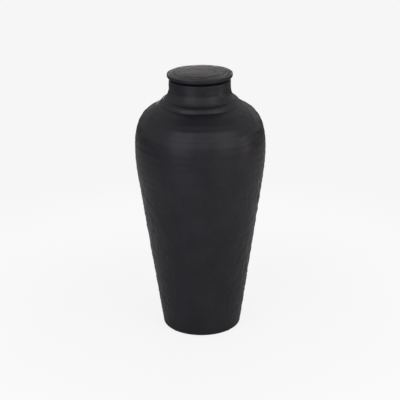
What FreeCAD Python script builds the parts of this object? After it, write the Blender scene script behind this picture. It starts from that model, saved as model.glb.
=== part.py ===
import FreeCAD, Part
import math
import os
import Sketcher

# Lidded jar of black stoneware, thrown on a wheel.
# A straight taper rises from a foot ring to a full shoulder, a rolled collar and a short flared neck.
# A loose plate lid lies on the flat rim, centred by a ring under it. Four felt pads are glued below.
# The origin is on the table, on the jar's axis. +Z is up. Lengths are in millimetres.

SIZES = [
    ("foot_radius", 74.5, "outside of the foot, before its edge is rounded"),
    ("foot_ring_width", 16, "width of the ring that carries the jar"),
    ("foot_recess", 3, "depth of the hollow inside the foot ring"),
    ("foot_round", 4, "rounding of the foot's outer edge"),
    ("foot_inner_bevel", 1.5, "bevel on the foot ring's inner edge"),
    ("belly_radius", 121.7, "widest radius of the body"),
    ("belly_rise", 357.8, "from the foot up to the widest point"),
    ("belly_curve", 348.5, "radius of the arc round the widest point, seen in profile"),
    ("shoulder_rise", 80.2, "from the widest point up to the collar"),
    ("shoulder_slope", 14.7, "degrees, fall of the shoulder where it meets the collar"),
    ("shoulder_fullness_share", 0.615, "how high the belly's upright tangent reaches, of the rise"),
    ("shoulder_reach_share", 0.698, "how far the collar's tangent reaches out, of the run"),
    ("collar_reach", 8.6, "width of the collar, seen from above"),
    ("collar_rise", 11.5, "height of the collar"),
    ("collar_curve", 11.3, "radius of the collar's roll"),
    ("flare_reach", 8.4, "how far the neck spreads at its foot"),
    ("flare_rise", 20.6, "height of the neck's spread"),
    ("neck_radius", 56.9, "outside of the upright neck"),
    ("neck_rise", 19.8, "upright part of the neck, up to the rim"),
    ("line_depth", 1.3, "depth of the two lines cut beside the collar"),
    ("wall", 7, "wall of belly and shoulder"),
    ("foot_wall", 9, "wall at the foot, where the clay is left thicker"),
    ("floor", 10, "clay over the foot's hollow"),
    ("floor_round", 22, "inside corner between floor and wall"),
    ("neck_wall", 7, "wall of the neck, so also the width of the rim"),
    ("throat_round", 14, "rounding where the mouth opens under the shoulder"),
    ("rim_round", 1.6, "rounding of both edges of the rim"),
    ("lid_overhang", 3.5, "how far the lid stands out past the neck"),
    ("lid_edge", 7, "thickness of the lid at its edge"),
    ("lid_crown", 1.5, "how much the lid's top rises to its middle"),
    ("lid_round", 3, "rounding of the lid's upper and lower edge"),
    ("finger_line_spacing", 9, "spacing of the finger lines on the lid"),
    ("finger_line_depth", 0.5, "depth of a finger line"),
    ("finger_radius", 6, "tip of the finger that drew them"),
    ("seat_clearance", 1.5, "gap between the lid's ring and the mouth, all round"),
    ("lid_ring_wall", 5, "wall of the ring under the lid"),
    ("lid_ring_reach", 12, "how deep the ring reaches into the mouth"),
    ("lid_ring_bevel", 1.5, "bevel on both lower edges of the ring"),
    ("pad_radius", 6, "felt pad"),
    ("pad_thickness", 1.5, "felt pad, so also the jar's height off the table"),
    ("overrun", 2, "how far a cut runs past the face it starts from"),
]

PAD_COUNT = 4
FINGER_LINE_COUNT = 5
EDGE_ROUND_SHARE = 0.45

START = 1
END = 2
CENTRE = 3
UPRIGHT = FreeCAD.Vector(0, 0, 1)

doc = FreeCAD.newDocument("lidded_jar")


# Driving dimensions

sizes = doc.addObject("Spreadsheet::Sheet", "Sizes")
for row, (alias, number, note) in enumerate(SIZES, start=1):
    sizes.set(f"A{row}", alias)
    sizes.set(f"B{row}", str(number))
    sizes.set(f"C{row}", note)
    sizes.setAlias(f"B{row}", alias)
doc.recompute()


# Places worked out from them: radii from the axis, levels above the part's own underside

places = doc.addObject("App::VarSet", "Places")


def place(name, expression, kind="App::PropertyFloat"):
    places.addProperty(kind, name)
    places.setExpression(name, expression)


place("mouth_radius", "Sizes.neck_radius - Sizes.neck_wall")
place("groove_radius", "Sizes.neck_radius + Sizes.flare_reach")
place("collar_radius", "Places.groove_radius + Sizes.collar_reach")
place("collar_level", "Sizes.belly_rise + Sizes.shoulder_rise")
place("groove_level", "Places.collar_level + Sizes.collar_rise")
place("neck_level", "Places.groove_level + Sizes.flare_rise")
place("rim_level", "Places.neck_level + Sizes.neck_rise")
place("open_level", "Places.rim_level + Sizes.overrun")

# the belly's arc and the inside of the wall beside it
place("arc_radius", "Sizes.belly_radius - Sizes.belly_curve")
place("inner_belly_radius", "Sizes.belly_radius - Sizes.wall")
place("inner_curve", "Sizes.belly_curve - Sizes.wall")
place("inner_foot_radius", "Sizes.foot_radius - Sizes.foot_wall")
place("floor_level", "Sizes.foot_recess + Sizes.floor")

# the shoulder's curve, by its two outer poles
place("shoulder_reach", "(Sizes.belly_radius - Places.collar_radius) * Sizes.shoulder_reach_share")
place("low_pole_level", "Sizes.belly_rise + Sizes.shoulder_rise * Sizes.shoulder_fullness_share")
place("high_pole_radius", "Places.collar_radius + Places.shoulder_reach")
place("high_pole_level", "Places.collar_level - Places.shoulder_reach * tan(Sizes.shoulder_slope)")

# the same curve one wall further in: each leg of its polygon is moved in by the wall
place("shoulder_lean",
      "atan((Sizes.belly_radius - Places.high_pole_radius)"
      " / (Places.high_pole_level - Places.low_pole_level))",
      "App::PropertyAngle")
place("shoulder_turn", "90 deg - Sizes.shoulder_slope * 1 deg - Places.shoulder_lean", "App::PropertyAngle")
place("inner_low_pole_level", "Places.low_pole_level - Sizes.wall * tan(Places.shoulder_lean / 2)")
place("inner_high_pole_radius",
      "Places.high_pole_radius - Sizes.wall * (sin(Sizes.shoulder_slope)"
      " + tan(Places.shoulder_turn / 2) * cos(Sizes.shoulder_slope))")
place("inner_high_pole_level",
      "Places.high_pole_level - Sizes.wall * (cos(Sizes.shoulder_slope)"
      " - tan(Places.shoulder_turn / 2) * sin(Sizes.shoulder_slope))")
place("inner_collar_radius", "Places.collar_radius - Sizes.wall * sin(Sizes.shoulder_slope)")
place("inner_collar_level", "Places.collar_level - Sizes.wall * cos(Sizes.shoulder_slope)")

# foot and pads
place("recess_radius", "Sizes.foot_radius - Sizes.foot_ring_width")
place("recess_open", "-Sizes.overrun")
place("pad_ring_radius", "Sizes.foot_radius - Sizes.foot_ring_width / 2")

# lid, from the rim up
place("lid_radius", "Sizes.neck_radius + Sizes.lid_overhang")
place("lid_top", "Sizes.lid_edge + Sizes.lid_crown")
place("ring_outer_radius", "Places.mouth_radius - Sizes.seat_clearance")
place("ring_inner_radius", "Places.ring_outer_radius - Sizes.lid_ring_wall")
place("ring_level", "-Sizes.lid_ring_reach")
place("lid_level", "Sizes.pad_thickness + Places.rim_level")
place("crown_curve", "(Places.lid_radius ^ 2 + Sizes.lid_crown ^ 2) / (2 * Sizes.lid_crown)")
place("edge_curl", f"min(Sizes.lid_round; Sizes.lid_edge * {EDGE_ROUND_SHARE})")
doc.recompute()


# Sketch helpers: every point is pinned to named places, so a changed size moves it

def spot(radius, level):
    return FreeCAD.Vector(radius, level, 0)


def origin_feature(body, role):
    return next(feature for feature in body.Origin.OriginFeatures if feature.Role == role)


def new_body(label):
    body = doc.addObject("PartDesign::Body", label)
    body.Label = label
    doc.recompute()
    return body


def new_sketch(body, name, role):
    sketch = body.newObject("Sketcher::SketchObject", name)
    sketch.AttachmentSupport = [(origin_feature(body, role), "")]
    sketch.MapMode = "FlatFace"
    return sketch


def bind(sketch, constraint, name, expression):
    index = sketch.addConstraint(constraint)
    sketch.renameConstraint(index, name)
    sketch.setExpression("Constraints." + name, expression)


def pin_radius(sketch, geometry, position, name, expression):
    here = sketch.getPoint(geometry, position).x
    bind(sketch, Sketcher.Constraint("DistanceX", -1, START, geometry, position, here), name, expression)


def pin_level(sketch, geometry, position, name, expression):
    here = sketch.getPoint(geometry, position).y
    bind(sketch, Sketcher.Constraint("DistanceY", -1, START, geometry, position, here), name, expression)


def pin(sketch, geometry, position, name, radius, level):
    pin_radius(sketch, geometry, position, name + "_radius", radius)
    pin_level(sketch, geometry, position, name + "_level", level)


def pin_curve(sketch, geometry, name, expression):
    here = sketch.Geometry[geometry].Radius
    bind(sketch, Sketcher.Constraint("Radius", geometry, here), name, expression)


def on_axis(sketch, geometry, position):
    sketch.addConstraint(Sketcher.Constraint("PointOnObject", geometry, position, -2))


def line(sketch, start, end):
    return sketch.addGeometry(Part.LineSegment(start, end), False)


def guide_point(sketch, at):
    return sketch.addGeometry(Part.Point(at), True)


def arc(sketch, centre, start, end):
    # counter-clockwise from start to end
    first = start.sub(centre)
    last = end.sub(centre)
    circle = Part.Circle(centre, UPRIGHT, first.Length)
    curve = Part.ArcOfCircle(circle, math.atan2(first.y, first.x), math.atan2(last.y, last.x))
    return sketch.addGeometry(curve, False)


def spline(sketch, poles):
    # one cubic span: it leaves each end along the line to the next pole
    curve = Part.BSplineCurve()
    curve.buildFromPolesMultsKnots(poles, [4, 4], [0, 1], False, 3)
    geometry = sketch.addGeometry(curve, False)
    handles = []
    for number, pole in enumerate(poles):
        handle = sketch.addGeometry(Part.Circle(pole, UPRIGHT, 1), True)
        if handles:
            sketch.addConstraint(Sketcher.Constraint("Equal", handles[0], handle))
        else:
            sketch.addConstraint(Sketcher.Constraint("Weight", handle, 1))
        alignment = "InternalAlignment:Sketcher::BSplineControlPoint"
        sketch.addConstraint(Sketcher.Constraint(alignment, handle, CENTRE, geometry, number))
        handles.append(handle)
    return geometry, handles


def chain(sketch, ends, smooth=()):
    # each item is (geometry, position it is entered at, position it is left at)
    for (first, entered, left), (second, second_entered, second_left) in zip(ends, ends[1:] + ends[:1]):
        joint = "Tangent" if (first, second) in smooth else "Coincident"
        sketch.addConstraint(Sketcher.Constraint(joint, first, left, second, second_entered))


def level_line(sketch, geometry):
    sketch.addConstraint(Sketcher.Constraint("Horizontal", geometry))


def upright_line(sketch, geometry):
    sketch.addConstraint(Sketcher.Constraint("Vertical", geometry))


def touch_point(point, centre, radius):
    # where a line from the point touches the circle, on the side away from the axis
    outward = point.sub(centre)
    bearing = math.atan2(outward.y, outward.x) + math.acos(radius / outward.Length)
    return centre.add(spot(radius * math.cos(bearing), radius * math.sin(bearing)))


def turned(body, name, sketch, kind):
    feature = body.newObject(kind, name)
    feature.Profile = sketch
    feature.ReferenceAxis = (sketch, ["V_Axis"])
    feature.Angle = 360
    doc.recompute()
    return feature


def ring_edges(feature, rings):
    # names of the circular edges at the given radii and levels
    names = []
    for number, edge in enumerate(feature.Shape.Edges, start=1):
        if edge.Degenerated or not isinstance(edge.Curve, Part.Circle):
            continue
        for radius, level in rings:
            offset = abs(edge.Curve.Radius - radius) + abs(edge.Curve.Center.z - level)
            if offset < Part.Precision.confusion() * radius:
                names.append(f"Edge{number}")
    if len(names) != len(rings):
        raise RuntimeError(f"{feature.Label}: {len(names)} edges found for {len(rings)} rings")
    return names


def rounded(body, name, feature, rings, expression):
    fillet = body.newObject("PartDesign::Fillet", name)
    fillet.Base = (feature, ring_edges(feature, rings))
    fillet.setExpression("Radius", expression)
    doc.recompute()
    return fillet


def bevelled(body, name, feature, rings, expression):
    bevel = body.newObject("PartDesign::Chamfer", name)
    bevel.Base = (feature, ring_edges(feature, rings))
    bevel.setExpression("Size", expression)
    doc.recompute()
    return bevel


# Jar: outside

def jar_outline(body):
    sketch = new_sketch(body, "jar_outline", "XZ_Plane")
    centre = spot(places.arc_radius, sizes.belly_rise)
    foot = spot(sizes.foot_radius, 0)
    tangent = touch_point(foot, centre, sizes.belly_curve)
    widest = spot(sizes.belly_radius, sizes.belly_rise)
    collar = spot(places.collar_radius, places.collar_level)
    groove = spot(places.groove_radius, places.groove_level)
    neck = spot(sizes.neck_radius, places.neck_level)
    rim = spot(sizes.neck_radius, places.rim_level)

    underside = line(sketch, spot(0, 0), foot)
    taper = line(sketch, foot, tangent)
    belly = arc(sketch, centre, tangent, widest)
    shoulder, handles = spline(sketch, [
        widest,
        spot(sizes.belly_radius, places.low_pole_level),
        spot(places.high_pole_radius, places.high_pole_level),
        collar,
    ])
    # the collar's roll bulges outward, so its centre lies in the clay
    chord = groove.sub(collar)
    middle = collar.add(groove).multiply(0.5)
    inward = spot(-chord.y, chord.x).normalize()
    depth = math.sqrt(sizes.collar_curve ** 2 - (chord.Length / 2) ** 2)
    roll = arc(sketch, middle.add(inward.multiply(depth)), collar, groove)
    flare_curve = (sizes.flare_reach ** 2 + sizes.flare_rise ** 2) / (2 * sizes.flare_reach)
    flare = arc(sketch, spot(sizes.neck_radius + flare_curve, places.neck_level), neck, groove)
    upright = line(sketch, neck, rim)
    top = line(sketch, rim, spot(0, places.rim_level))
    axis = line(sketch, spot(0, places.rim_level), spot(0, 0))

    chain(sketch, [
        (underside, START, END), (taper, START, END), (belly, START, END), (shoulder, START, END),
        (roll, START, END), (flare, END, START), (upright, START, END), (top, START, END),
        (axis, START, END),
    ], smooth=[(taper, belly)])
    level_line(sketch, underside)
    level_line(sketch, top)
    upright_line(sketch, upright)
    sketch.addConstraint(Sketcher.Constraint("Coincident", underside, START, -1, START))
    on_axis(sketch, axis, START)
    pin_radius(sketch, taper, START, "foot_radius", "Sizes.foot_radius")
    pin(sketch, belly, CENTRE, "belly_centre", "Places.arc_radius", "Sizes.belly_rise")
    pin(sketch, belly, END, "widest", "Sizes.belly_radius", "Sizes.belly_rise")
    pin(sketch, handles[1], CENTRE, "low_pole", "Sizes.belly_radius", "Places.low_pole_level")
    pin(sketch, handles[2], CENTRE, "high_pole", "Places.high_pole_radius", "Places.high_pole_level")
    pin(sketch, roll, START, "collar", "Places.collar_radius", "Places.collar_level")
    pin(sketch, roll, END, "groove", "Places.groove_radius", "Places.groove_level")
    pin_curve(sketch, roll, "collar_curve", "Sizes.collar_curve")
    pin(sketch, flare, START, "neck", "Sizes.neck_radius", "Places.neck_level")
    pin_level(sketch, flare, CENTRE, "flare_centre_level", "Places.neck_level")
    pin_level(sketch, upright, END, "rim_level", "Places.rim_level")
    return sketch


# Jar: inside, one wall in from the outside, open at the mouth

def cavity_outline(body):
    sketch = new_sketch(body, "cavity_outline", "XZ_Plane")
    centre = spot(places.arc_radius, sizes.belly_rise)
    foot = spot(places.inner_foot_radius, 0)
    tangent = touch_point(foot, centre, places.inner_curve)
    widest = spot(places.inner_belly_radius, sizes.belly_rise)
    collar = spot(places.inner_collar_radius, places.inner_collar_level)
    slope = math.radians(sizes.shoulder_slope)
    throat_centre_radius = places.mouth_radius + sizes.throat_round
    throat_end_radius = throat_centre_radius - sizes.throat_round * math.sin(slope)
    throat_end_level = collar.y + (collar.x - throat_end_radius) * math.tan(slope)
    throat_centre_level = throat_end_level + sizes.throat_round * math.cos(slope)
    throat_centre = spot(throat_centre_radius, throat_centre_level)
    throat_start = spot(places.mouth_radius, throat_centre_level)
    throat_end = spot(throat_end_radius, throat_end_level)
    lean = math.atan2(tangent.x - foot.x, tangent.y - foot.y)
    floor_centre_level = places.floor_level + sizes.floor_round
    floor_centre_radius = (foot.x + floor_centre_level * math.tan(lean)
                           - sizes.floor_round / math.cos(lean))
    floor_centre = spot(floor_centre_radius, floor_centre_level)
    floor_edge = spot(floor_centre_radius, places.floor_level)
    across = spot(math.cos(lean), -math.sin(lean))
    wall_foot = floor_centre.add(across.multiply(sizes.floor_round))

    axis = line(sketch, spot(0, places.open_level), spot(0, places.floor_level))
    floor = line(sketch, spot(0, places.floor_level), floor_edge)
    corner = arc(sketch, floor_centre, floor_edge, wall_foot)
    taper = line(sketch, wall_foot, tangent)
    belly = arc(sketch, centre, tangent, widest)
    shoulder, handles = spline(sketch, [
        widest,
        spot(places.inner_belly_radius, places.inner_low_pole_level),
        spot(places.inner_high_pole_radius, places.inner_high_pole_level),
        collar,
    ])
    under_collar = line(sketch, collar, throat_end)
    throat = arc(sketch, throat_centre, throat_start, throat_end)
    mouth = line(sketch, throat_start, spot(places.mouth_radius, places.open_level))
    top = line(sketch, spot(places.mouth_radius, places.open_level), spot(0, places.open_level))
    wall_line_foot = guide_point(sketch, foot)

    chain(sketch, [
        (axis, START, END), (floor, START, END), (corner, START, END), (taper, START, END),
        (belly, START, END), (shoulder, START, END), (under_collar, START, END), (throat, END, START),
        (mouth, START, END), (top, START, END),
    ], smooth=[(floor, corner), (corner, taper), (taper, belly), (under_collar, throat), (throat, mouth)])
    on_axis(sketch, axis, START)
    on_axis(sketch, axis, END)
    level_line(sketch, floor)
    level_line(sketch, top)
    upright_line(sketch, mouth)
    sketch.addConstraint(Sketcher.Constraint("PointOnObject", wall_line_foot, START, taper))
    sketch.addConstraint(Sketcher.Constraint("PointOnObject", wall_line_foot, START, -1))
    sketch.addConstraint(Sketcher.Constraint("PointOnObject", handles[2], CENTRE, under_collar))
    pin_radius(sketch, wall_line_foot, START, "wall_line_foot", "Places.inner_foot_radius")
    pin_level(sketch, floor, START, "floor_level", "Places.floor_level")
    pin_curve(sketch, corner, "floor_round", "Sizes.floor_round")
    pin(sketch, belly, CENTRE, "belly_centre", "Places.arc_radius", "Sizes.belly_rise")
    pin(sketch, belly, END, "widest", "Places.inner_belly_radius", "Sizes.belly_rise")
    pin(sketch, handles[1], CENTRE, "low_pole", "Places.inner_belly_radius", "Places.inner_low_pole_level")
    pin(sketch, handles[2], CENTRE, "high_pole",
        "Places.inner_high_pole_radius", "Places.inner_high_pole_level")
    pin(sketch, shoulder, END, "collar", "Places.inner_collar_radius", "Places.inner_collar_level")
    pin_curve(sketch, throat, "throat_round", "Sizes.throat_round")
    pin(sketch, mouth, END, "mouth", "Places.mouth_radius", "Places.open_level")
    return sketch


def recess_outline(body):
    sketch = new_sketch(body, "recess_outline", "XZ_Plane")
    low = places.recess_open
    high = sizes.foot_recess
    out = places.recess_radius
    bottom = line(sketch, spot(0, low), spot(out, low))
    side = line(sketch, spot(out, low), spot(out, high))
    ceiling = line(sketch, spot(out, high), spot(0, high))
    axis = line(sketch, spot(0, high), spot(0, low))
    chain(sketch, [(bottom, START, END), (side, START, END), (ceiling, START, END), (axis, START, END)])
    level_line(sketch, bottom)
    level_line(sketch, ceiling)
    on_axis(sketch, axis, START)
    on_axis(sketch, axis, END)
    pin(sketch, side, START, "recess_open", "Places.recess_radius", "Places.recess_open")
    pin(sketch, side, END, "recess_ceiling", "Places.recess_radius", "Sizes.foot_recess")
    return sketch


def tooled_lines(body):
    # one line above the collar and one below it, each a small notch cut by a pointed tool
    sketch = new_sketch(body, "tooled_lines", "XZ_Plane")
    corners = [
        ("groove", spot(places.groove_radius, places.groove_level)),
        ("collar", spot(places.collar_radius, places.collar_level)),
    ]
    steps = [("inner", -1, 0), ("lower", 0, -1), ("outer", 1, 0), ("upper", 0, 1)]
    for name, centre in corners:
        tips = [centre.add(spot(across, up).multiply(sizes.line_depth)) for _, across, up in steps]
        sides = [line(sketch, tip, tips[index - 3]) for index, tip in enumerate(tips)]
        chain(sketch, [(side, START, END) for side in sides])
        for side, (tip_name, across, up) in zip(sides, steps):
            pin(sketch, side, START, f"{name}_{tip_name}",
                f"Places.{name}_radius + {across} * Sizes.line_depth",
                f"Places.{name}_level + {up} * Sizes.line_depth")
    return sketch


def make_jar():
    body = new_body("jar_body")
    thrown = turned(body, "thrown_body", jar_outline(body), "PartDesign::Revolution")
    full = thrown.Shape.Volume
    hollowed = turned(body, "cavity", cavity_outline(body), "PartDesign::Groove")
    footed = turned(body, "foot_hollow", recess_outline(body), "PartDesign::Groove")
    if not full > hollowed.Shape.Volume > footed.Shape.Volume:
        raise RuntimeError("the jar was not hollowed")
    lined = turned(body, "collar_lines", tooled_lines(body), "PartDesign::Groove")
    rim = rounded(body, "rim_edges", lined, [
        (sizes.neck_radius, places.rim_level),
        (places.mouth_radius, places.rim_level),
    ], f"min(Sizes.rim_round; Sizes.neck_wall * {EDGE_ROUND_SHARE})")
    foot = rounded(body, "foot_edge", rim, [(sizes.foot_radius, 0)], "Sizes.foot_round")
    bevelled(body, "foot_inner_edge", foot, [(places.recess_radius, 0)],
             f"min(Sizes.foot_inner_bevel; Sizes.foot_recess * {EDGE_ROUND_SHARE})")
    body.setExpression("Placement.Base.z", "Sizes.pad_thickness")
    return body


# Lid: a plate with a ring under it, turned in one piece, its origin at the middle of the seat

def lid_outline(body):
    sketch = new_sketch(body, "lid_outline", "XZ_Plane")
    outer = places.ring_outer_radius
    inner = places.ring_inner_radius
    low = places.ring_level
    out = places.lid_radius
    curl = places.edge_curl
    crown_centre = spot(0, places.lid_top - places.crown_curve)
    middle_top = spot(0, places.lid_top)
    upper_centre = spot(out - curl, sizes.lid_edge - curl)
    upper_end = crown_centre.add(upper_centre.sub(crown_centre).normalize().multiply(places.crown_curve))

    hollow = line(sketch, spot(0, 0), spot(inner, 0))
    ring_inside = line(sketch, spot(inner, 0), spot(inner, low))
    ring_foot = line(sketch, spot(inner, low), spot(outer, low))
    ring_outside = line(sketch, spot(outer, low), spot(outer, 0))
    seat = line(sketch, spot(outer, 0), spot(out - curl, 0))
    lower_edge = arc(sketch, spot(out - curl, curl), spot(out - curl, 0), spot(out, curl))
    edge = line(sketch, spot(out, curl), spot(out, sizes.lid_edge - curl))
    upper_edge = arc(sketch, upper_centre, spot(out, sizes.lid_edge - curl), upper_end)
    crown = arc(sketch, crown_centre, upper_end, middle_top)
    axis = line(sketch, middle_top, spot(0, 0))

    chain(sketch, [
        (hollow, START, END), (ring_inside, START, END), (ring_foot, START, END),
        (ring_outside, START, END), (seat, START, END), (lower_edge, START, END),
        (edge, START, END), (upper_edge, START, END), (crown, START, END), (axis, START, END),
    ], smooth=[(seat, lower_edge), (lower_edge, edge), (edge, upper_edge), (upper_edge, crown)])
    sketch.addConstraint(Sketcher.Constraint("Coincident", hollow, START, -1, START))
    for flat in (hollow, ring_foot, seat):
        level_line(sketch, flat)
    for side in (ring_inside, ring_outside, edge):
        upright_line(sketch, side)
    on_axis(sketch, crown, CENTRE)
    on_axis(sketch, crown, END)
    pin(sketch, ring_inside, END, "ring_inside", "Places.ring_inner_radius", "Places.ring_level")
    pin_radius(sketch, ring_outside, START, "ring_outside", "Places.ring_outer_radius")
    sketch.addConstraint(Sketcher.Constraint("PointOnObject", ring_outside, END, -1))
    pin_radius(sketch, edge, START, "lid_radius", "Places.lid_radius")
    pin_curve(sketch, lower_edge, "lower_curl", "Places.edge_curl")
    pin_curve(sketch, upper_edge, "upper_curl", "Places.edge_curl")
    pin_curve(sketch, crown, "crown_curve", "Places.crown_curve")
    pin_level(sketch, crown, END, "lid_top", "Places.lid_top")
    return sketch


def finger_lines(body):
    # evenly spaced rings, each the mark of a fingertip that sinks a little below the crown
    sketch = new_sketch(body, "finger_lines", "XZ_Plane")
    height = "Places.lid_top - Places.crown_curve + sqrt(Places.crown_curve ^ 2 - ({0}) ^ 2)" \
             " + Sizes.finger_radius - Sizes.finger_line_depth"
    for number in range(1, FINGER_LINE_COUNT + 1):
        radius = number * sizes.finger_line_spacing
        fall = places.crown_curve - math.sqrt(places.crown_curve ** 2 - radius ** 2)
        level = places.lid_top - fall + sizes.finger_radius - sizes.finger_line_depth
        tip = sketch.addGeometry(Part.Circle(spot(radius, level), UPRIGHT, sizes.finger_radius), False)
        along = f"{number} * Sizes.finger_line_spacing"
        pin(sketch, tip, CENTRE, f"line{number}", along, height.format(along))
        pin_curve(sketch, tip, f"finger{number}", "Sizes.finger_radius")
    return sketch


def make_lid():
    body = new_body("lid")
    plate = turned(body, "plate_and_ring", lid_outline(body), "PartDesign::Revolution")
    lined = turned(body, "finger_marks", finger_lines(body), "PartDesign::Groove")
    if not lined.Shape.Volume < plate.Shape.Volume:
        raise RuntimeError("the lid has no finger lines")
    bevelled(body, "ring_edges", lined, [
        (places.ring_outer_radius, places.ring_level),
        (places.ring_inner_radius, places.ring_level),
    ], f"min(Sizes.lid_ring_bevel; Sizes.lid_ring_wall * {EDGE_ROUND_SHARE})")
    body.setExpression("Placement.Base.z", "Places.lid_level")
    return body


# Felt pads: small discs glued to the middle of the foot ring

def make_pads():
    body = new_body("felt_pads")
    sketch = new_sketch(body, "pad_outline", "XY_Plane")
    outline = Part.Circle(spot(places.pad_ring_radius, 0), UPRIGHT, sizes.pad_radius)
    disc = sketch.addGeometry(outline, False)
    sketch.addConstraint(Sketcher.Constraint("PointOnObject", disc, CENTRE, -1))
    pin_radius(sketch, disc, CENTRE, "ring", "Places.pad_ring_radius")
    pin_curve(sketch, disc, "pad_radius", "Sizes.pad_radius")
    pad = body.newObject("PartDesign::Pad", "pad")
    pad.Profile = sketch
    pad.setExpression("Length", "Sizes.pad_thickness")
    doc.recompute()
    ring = body.newObject("PartDesign::PolarPattern", "pad_ring")
    ring.Originals = [pad]
    ring.Axis = (origin_feature(body, "Z_Axis"), [""])
    ring.Angle = 360
    ring.Occurrences = PAD_COUNT
    body.Tip = ring
    # the pads stand between the four sides, so none shows below the foot from the front
    half_step = 180 / PAD_COUNT
    body.Placement = FreeCAD.Placement(FreeCAD.Vector(), FreeCAD.Rotation(UPRIGHT, half_step))
    doc.recompute()
    return body


bodies = [make_jar(), make_lid(), make_pads()]
doc.recompute()


# Every object is checked before anything is written

for item in doc.Objects:
    if "Invalid" in item.State or "Error" in item.State:
        raise RuntimeError(f"{item.Label} failed: {item.State}")
    if item.TypeId == "Sketcher::SketchObject" and not item.FullyConstrained:
        raise RuntimeError(f"{item.Label} is not fully constrained")

os.makedirs("parts", exist_ok=True)
for body in bodies:
    shape = body.Shape
    if shape.isNull() or not shape.isValid():
        raise RuntimeError(f"{body.Label} has no sound shape")
    shape.exportStep(f"parts/{body.Label}.step")
    box = shape.optimalBoundingBox()
    print(f"{body.Label}: {len(shape.Solids)} solid, {shape.Volume / 1000:.1f} cm3,"
          f" {box.XLength:.1f} x {box.YLength:.1f} x {box.ZLength:.1f} mm, up to {box.ZMax:.1f}")
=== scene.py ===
import math

import bpy
import numpy as np
from mathutils import Matrix, Vector, noise


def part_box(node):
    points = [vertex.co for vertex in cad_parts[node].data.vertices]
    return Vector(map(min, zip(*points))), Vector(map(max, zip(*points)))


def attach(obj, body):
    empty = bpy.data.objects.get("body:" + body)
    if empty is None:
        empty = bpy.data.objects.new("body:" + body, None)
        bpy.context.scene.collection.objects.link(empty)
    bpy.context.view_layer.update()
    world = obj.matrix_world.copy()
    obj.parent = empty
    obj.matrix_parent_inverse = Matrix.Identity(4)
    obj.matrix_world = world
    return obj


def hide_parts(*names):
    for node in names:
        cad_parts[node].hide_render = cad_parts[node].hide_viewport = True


# Lidded jar of black stoneware, dressed for a product picture.
# Jar and lid are turned from their own outlines, so lengths here are the outline's millimetres.

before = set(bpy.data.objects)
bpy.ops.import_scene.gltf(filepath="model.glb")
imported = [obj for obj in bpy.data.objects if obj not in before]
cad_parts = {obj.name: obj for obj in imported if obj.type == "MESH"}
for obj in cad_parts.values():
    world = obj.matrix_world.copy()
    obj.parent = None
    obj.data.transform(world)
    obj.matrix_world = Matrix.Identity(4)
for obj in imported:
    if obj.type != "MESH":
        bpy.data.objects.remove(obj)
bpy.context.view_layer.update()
mm = 0.001
sharpAngle = math.radians(50)   # edges that turn more than this stay crisp
print("frame loaded with", ", ".join(sorted(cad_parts)))


# small helpers

def linear(hexColour):
    # sRGB hex to the linear colour that a socket wants
    channels = [int(hexColour[i:i + 2], 16) / 255 for i in (1, 3, 5)]
    return [c / 12.92 if c <= 0.04045 else ((c + 0.055) / 1.055) ** 2.4 for c in channels] + [1]


# a colour Mix node's sockets have no names of their own: its share, its two colours and its result
mixShare, mixFirst, mixSecond, mixed = 0, 6, 7, 2


def addNode(tree, kind, values=None, links=None, **settings):
    # one node, with its own settings, its socket values and what is plugged into it
    node = tree.nodes.new("ShaderNode" + kind)
    for name, value in settings.items():
        setattr(node, name, value)
    for socket, value in (values or {}).items():
        node.inputs[socket].default_value = value
    for socket, source in (links or {}).items():
        tree.links.new(source, node.inputs[socket])
    return node


def newMaterial(name):
    material = bpy.data.materials.new(name)
    material.use_nodes = True
    material.node_tree.nodes.clear()
    return material, material.node_tree


def smoothStep(low, high, value):
    t = min(1, max(0, (value - low) / (high - low)))
    return t * t * (3 - 2 * t)


def bump(centre, width, value):
    # 1 at the centre, gone about two widths away
    return math.exp(-((value - centre) / width) ** 2)


def band(shareAndReach, level, value, strength=1):
    # a share, of this strength, that fades out on both sides of the level
    share, reach = shareAndReach
    return share * strength * bump(level, reach, value)


seedRise = 0.37   # keeps whole seeds off the noise's own grid


def lumps(x, y, z, across, tall, seed):
    # soft noise from -1 to 1 with lumps this wide and tall, in millimetres. A seed shifts all of it
    return noise.noise(Vector((x / across + seed, y / across - seed, z / tall + seedRise * seed)))


# outlines are lists of (radius, height). Each run leaves out its last point, which the next run starts
# with, and its last number is the spacing of its points

def straight(start, end, step):
    count = max(1, round(math.dist(start, end) / step))
    return [(start[0] + (end[0] - start[0]) * i / count, start[1] + (end[1] - start[1]) * i / count)
            for i in range(count)]


def rounded(centre, radius, first, last, step):
    # an arc from one bearing to another, in degrees
    count = max(2, round(radius * math.radians(abs(last - first)) / step))
    bearings = [math.radians(first + (last - first) * i / count) for i in range(count)]
    return [(centre[0] + radius * math.cos(b), centre[1] + radius * math.sin(b)) for b in bearings]


def swept(poles, step):
    # one cubic span through its four poles
    count = max(4, round(lengthOf(poles) / step))
    points = []
    for i in range(count):
        t = i / count
        weights = ((1 - t) ** 3, 3 * t * (1 - t) ** 2, 3 * t * t * (1 - t), t ** 3)
        points.append(tuple(sum(w * pole[k] for w, pole in zip(weights, poles)) for k in (0, 1)))
    return points


def lengthOf(points):
    return sum(math.dist(a, b) for a, b in zip(points, points[1:]))


def touchPoint(point, centre, radius):
    # where a line from the point touches the circle, on the side away from the axis
    x, y = point[0] - centre[0], point[1] - centre[1]
    bearing = math.atan2(y, x) + math.acos(radius / math.hypot(x, y))
    return (centre[0] + radius * math.cos(bearing), centre[1] + radius * math.sin(bearing))


def bearingOf(centre, point):
    return math.degrees(math.atan2(point[1] - centre[1], point[0] - centre[0]))


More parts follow.
